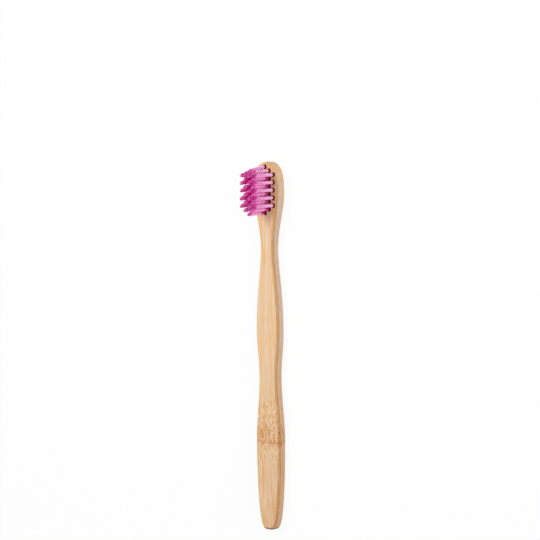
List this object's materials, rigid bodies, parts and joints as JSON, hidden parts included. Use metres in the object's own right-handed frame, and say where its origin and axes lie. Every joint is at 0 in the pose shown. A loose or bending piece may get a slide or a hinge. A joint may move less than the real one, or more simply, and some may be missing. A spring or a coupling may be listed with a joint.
{
  "type": "manual toothbrush",
  "caption": "Child's toothbrush: a flat, waisted bamboo handle with a slim neck and a rounded head, and staggered bristle tufts pinned in blind holes.",
  "frame": {"origin": "on the flat back of the handle, under the middle of the length and width", "axes": "+X along the brush from the tail to the head, +Z out of the bristle side, +Y across the handle"},
  "size_m": [0.145, 0.013, 0.0141],
  "materials": {
    "bamboo": "fine sanded bamboo, oiled",
    "anchor_metal": "bare cut strip",
    "bristle": "pink translucent filaments"
  },
  "bodies": {
    "root": {"handle": "bamboo", "anchors": "anchor_metal", "tuft_a1": "bristle", "tuft_a2": "bristle", "tuft_a3": "bristle", "tuft_a4": "bristle", "tuft_a5": "bristle", "tuft_b1": "bristle", "tuft_b2": "bristle", "tuft_b3": "bristle", "tuft_b4": "bristle", "tuft_b5": "bristle", "tuft_b6": "bristle", "tuft_c1": "bristle", "tuft_c2": "bristle", "tuft_c3": "bristle", "tuft_c4": "bristle", "tuft_c5": "bristle", "tuft_c6": "bristle", "tuft_c7": "bristle", "tuft_d1": "bristle", "tuft_d2": "bristle", "tuft_d3": "bristle", "tuft_d4": "bristle", "tuft_d5": "bristle", "tuft_d6": "bristle", "tuft_e1": "bristle", "tuft_e2": "bristle", "tuft_e3": "bristle", "tuft_e4": "bristle", "tuft_e5": "bristle"}
  },
  "joints": []
}
